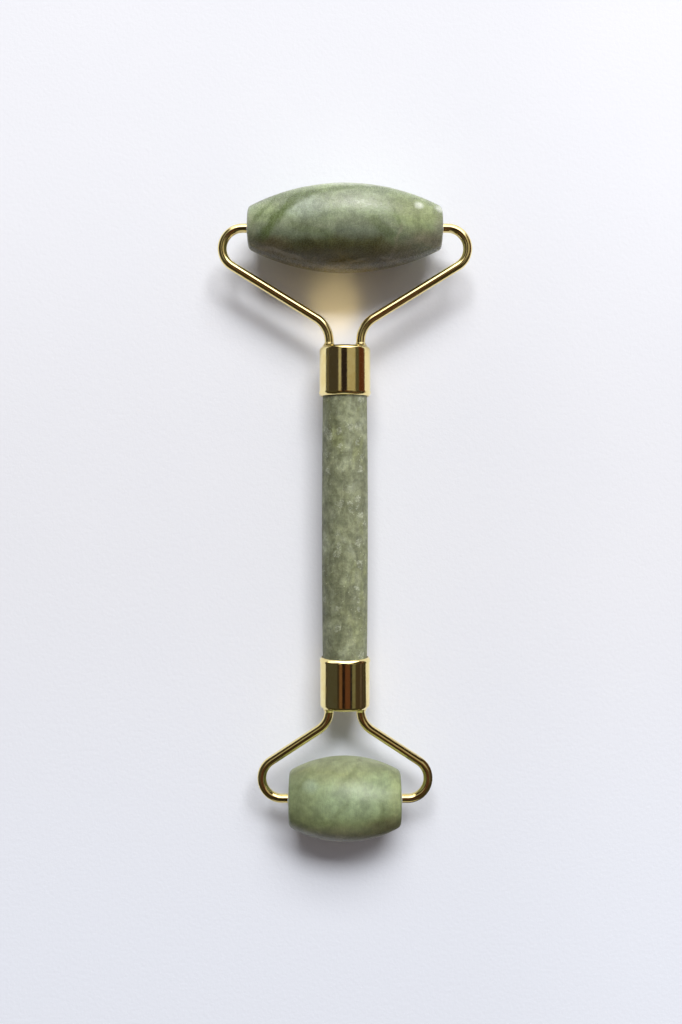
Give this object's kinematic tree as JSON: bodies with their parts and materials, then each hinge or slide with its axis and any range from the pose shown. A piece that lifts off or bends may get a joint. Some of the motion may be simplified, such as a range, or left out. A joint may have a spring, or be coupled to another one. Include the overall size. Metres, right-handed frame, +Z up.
{
  "type": "face roller",
  "caption": "Double-ended face roller: a stone handle in metal ferrules, with a crowned stone roller turning in a wire fork at each end.",
  "frame": {"origin": "the middle of the whole tool, on the handle's axis, in the plane of both forks", "axes": "+X runs along both roller axes, +Y along the handle towards the large roller, +Z square to the plane of the forks; with the tool lying flat, +Z is up"},
  "size_m": [0.056, 0.1446, 0.0194],
  "materials": {
    "handle_stone": "fine-ground matt green stone with pale crystalline spots",
    "large_roller_stone": "satin polished green stone with darker bands and pale veins",
    "small_roller_stone": "satin polished light green stone with faint veins",
    "gold_plated_metal": "bright yellow-gold plating, polished",
    "solder": "plated solder, slightly uneven",
    "nylon": "natural white nylon",
    "epoxy": "cured clear epoxy, faintly amber"
  },
  "bodies": {
    "handle": {"handle_stone": "handle_stone", "large_end_ferrule": "gold_plated_metal", "small_end_ferrule": "gold_plated_metal", "large_end_glue": "epoxy", "small_end_glue": "epoxy", "large_fork_left_arm": "gold_plated_metal", "large_fork_right_arm": "gold_plated_metal", "small_fork_left_arm": "gold_plated_metal", "small_fork_right_arm": "gold_plated_metal", "large_fork_solder": "solder", "small_fork_solder": "solder"},
    "large_roller": {"large_roller_stone": "large_roller_stone", "large_roller_left_bush": "nylon", "large_roller_right_bush": "nylon"},
    "small_roller": {"small_roller_stone": "small_roller_stone", "small_roller_left_bush": "nylon", "small_roller_right_bush": "nylon"}
  },
  "joints": [
    {"name": "large_roller_spin", "type": "hinge", "parent": "handle", "child": "large_roller", "pos_m": [0, 0.06255, 0], "axis": [1, 0, 0], "continuous": true},
    {"name": "small_roller_spin", "type": "hinge", "parent": "handle", "child": "small_roller", "pos_m": [0, -0.0631, 0], "axis": [1, 0, 0], "continuous": true}
  ]
}
